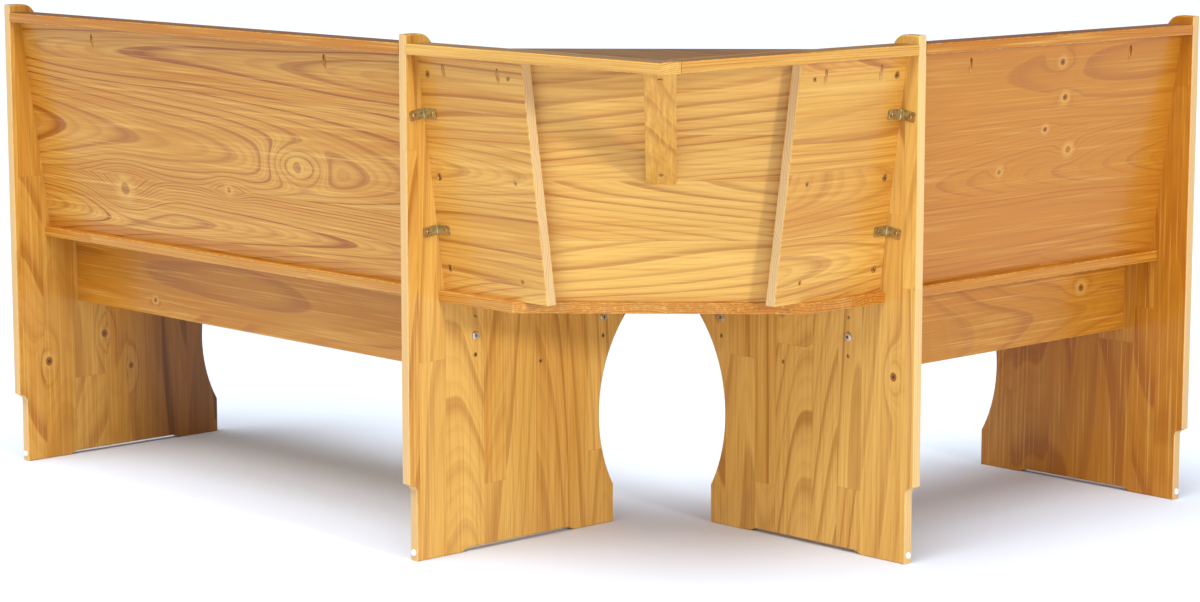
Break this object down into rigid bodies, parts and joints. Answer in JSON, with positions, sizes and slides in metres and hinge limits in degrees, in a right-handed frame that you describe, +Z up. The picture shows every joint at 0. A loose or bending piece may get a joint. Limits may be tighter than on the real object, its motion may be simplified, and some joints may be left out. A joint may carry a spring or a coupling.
{
  "type": "corner bench set",
  "caption": "Pine corner bench set for a dining nook: storage benches with hinged seat lids, a fixed corner seat with leaning backrests and a small shelf.",
  "frame": {"origin": "centre of the footprint's bounding rectangle, on the floor", "axes": "+Z up; +X along the long wall, away from the room corner; +Y towards the long wall, so the room corner is at -X, +Y"},
  "size_m": [1.7304, 1.3206, 0.86],
  "materials": {
    "pine_upright": "solid pine staves with upright grain, amber gloss lacquer",
    "pine_level": "solid edge-glued pine with level grain, honey gloss lacquer",
    "pine_stained_top": "pine board with a mauve-brown stained face",
    "beech": "raw turned beech",
    "zinc_steel": "zinc-plated steel",
    "hinge_steel": "pale yellow zinc-plated steel",
    "bronzed_steel": "bronzed steel, worn bright on the bend",
    "white_plastic": "white moulded plastic"
  },
  "bodies": {
    "frame": {"long_end_panel": "pine_upright", "long_corner_panel": "pine_upright", "short_corner_panel": "pine_upright", "short_end_panel": "pine_upright", "long_top_rail": "pine_level", "long_backrest": "pine_level", "long_seat_strip": "pine_level", "long_rear_apron": "pine_level", "long_front_apron": "pine_level", "long_box_floor": "pine_level", "long_hinge_fixed_leaves": "hinge_steel", "long_hinge_pins": "hinge_steel", "long_hinge_strip_screws": "zinc_steel", "long_apron_bolts": "zinc_steel", "long_apron_barrel_nuts": "zinc_steel", "long_apron_screws": "zinc_steel", "long_floor_screws": "zinc_steel", "long_rail_pocket_screws": "zinc_steel", "long_dowels": "beech", "short_top_rail": "pine_level", "short_backrest": "pine_level", "short_seat_strip": "pine_level", "short_rear_apron": "pine_level", "short_front_apron": "pine_level", "short_box_floor": "pine_level", "short_hinge_fixed_leaves": "hinge_steel", "short_hinge_pins": "hinge_steel", "short_hinge_strip_screws": "zinc_steel", "short_apron_bolts": "zinc_steel", "short_apron_barrel_nuts": "zinc_steel", "short_apron_screws": "zinc_steel", "short_floor_screws": "zinc_steel", "short_rail_pocket_screws": "zinc_steel", "short_dowels": "beech", "corner_seat": "pine_level", "corner_left_backrest": "pine_level", "corner_right_backrest": "pine_level", "corner_middle_backrest": "pine_level", "corner_left_rail": "pine_level", "corner_right_rail": "pine_level", "corner_shelf": "pine_stained_top", "corner_brace": "pine_level", "corner_angle_brackets": "bronzed_steel", "corner_bracket_screws": "zinc_steel", "corner_cams": "zinc_steel", "corner_cam_bolts": "zinc_steel", "corner_back_screws": "zinc_steel", "corner_seat_screws": "zinc_steel", "corner_pocket_screws": "zinc_steel", "corner_brace_screws": "zinc_steel", "corner_dowels": "beech", "rear_glides": "white_plastic"},
    "long_lid": {"long_seat_lid": "pine_level", "long_hinge_lid_leaves": "hinge_steel", "long_hinge_lid_screws": "zinc_steel"},
    "short_lid": {"short_seat_lid": "pine_level", "short_hinge_lid_leaves": "hinge_steel", "short_hinge_lid_screws": "zinc_steel"}
  },
  "joints": [
    {"name": "long_lid_hinge", "type": "hinge", "parent": "frame", "child": "long_lid", "pos_m": [0.28675, 0.50525, 0.4462], "axis": [-1, 0, 0], "range_deg": [0, 105]},
    {"name": "short_lid_hinge", "type": "hinge", "parent": "frame", "child": "short_lid", "pos_m": [-0.71025, -0.28675, 0.4462], "axis": [0, -1, 0], "range_deg": [0, 105]}
  ]
}
